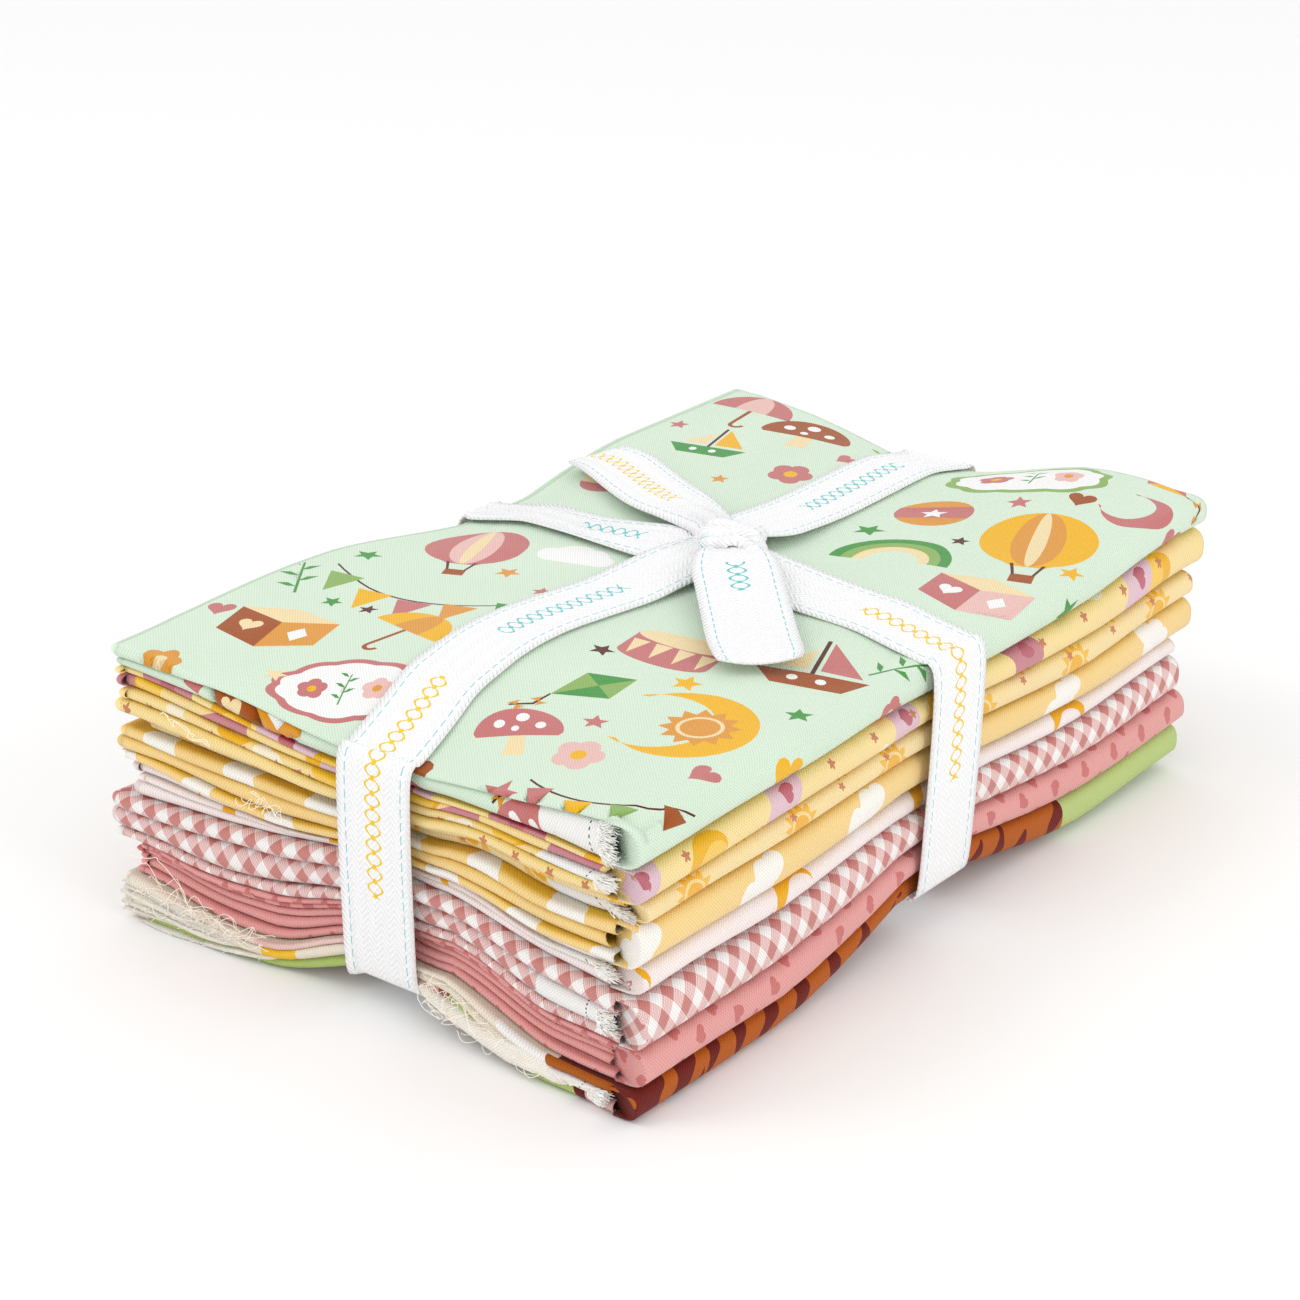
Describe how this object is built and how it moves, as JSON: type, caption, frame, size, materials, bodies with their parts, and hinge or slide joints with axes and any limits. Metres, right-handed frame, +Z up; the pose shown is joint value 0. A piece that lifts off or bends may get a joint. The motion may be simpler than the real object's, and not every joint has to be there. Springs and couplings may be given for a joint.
{
  "type": "fabric bundle",
  "caption": "Bundle of folded quilting cottons in a flat stack, tied both ways with a twill tape that is knotted on top with two loose ends.",
  "frame": {"origin": "middle of the underside of the object's box, on the surface that the bundle lies on", "axes": "+Z up, +Y along the long side away from the frayed ends, +X along the short side towards the smooth folded edges"},
  "size_m": [0.1967, 0.296, 0.1005],
  "materials": {
    "mint_print": "matt plain-weave cotton, pale mint with a print",
    "toy_print": "matt plain-weave cotton, pale yellow with a print",
    "sun_print": "matt plain-weave cotton, yellow with small suns",
    "cloud_print": "matt plain-weave cotton, yellow with white clouds",
    "moon_print": "matt plain-weave cotton, very pale pink with moons",
    "gingham": "matt plain-weave cotton, rose and white checks",
    "heart_print": "matt plain-weave cotton, rose with darker hearts",
    "panel_print": "matt plain-weave cotton, brown animal stripes and green",
    "ribbon": "white herringbone twill tape with dashed coloured lines"
  },
  "bodies": {
    "root": {"cloth_mint_print": "mint_print", "cloth_toy_print": "toy_print", "cloth_sun_print": "sun_print", "cloth_cloud_print": "cloud_print", "cloth_moon_print": "moon_print", "cloth_gingham": "gingham", "cloth_heart_print": "heart_print", "cloth_panel_print": "panel_print", "tie_ribbon": "ribbon"}
  },
  "joints": []
}
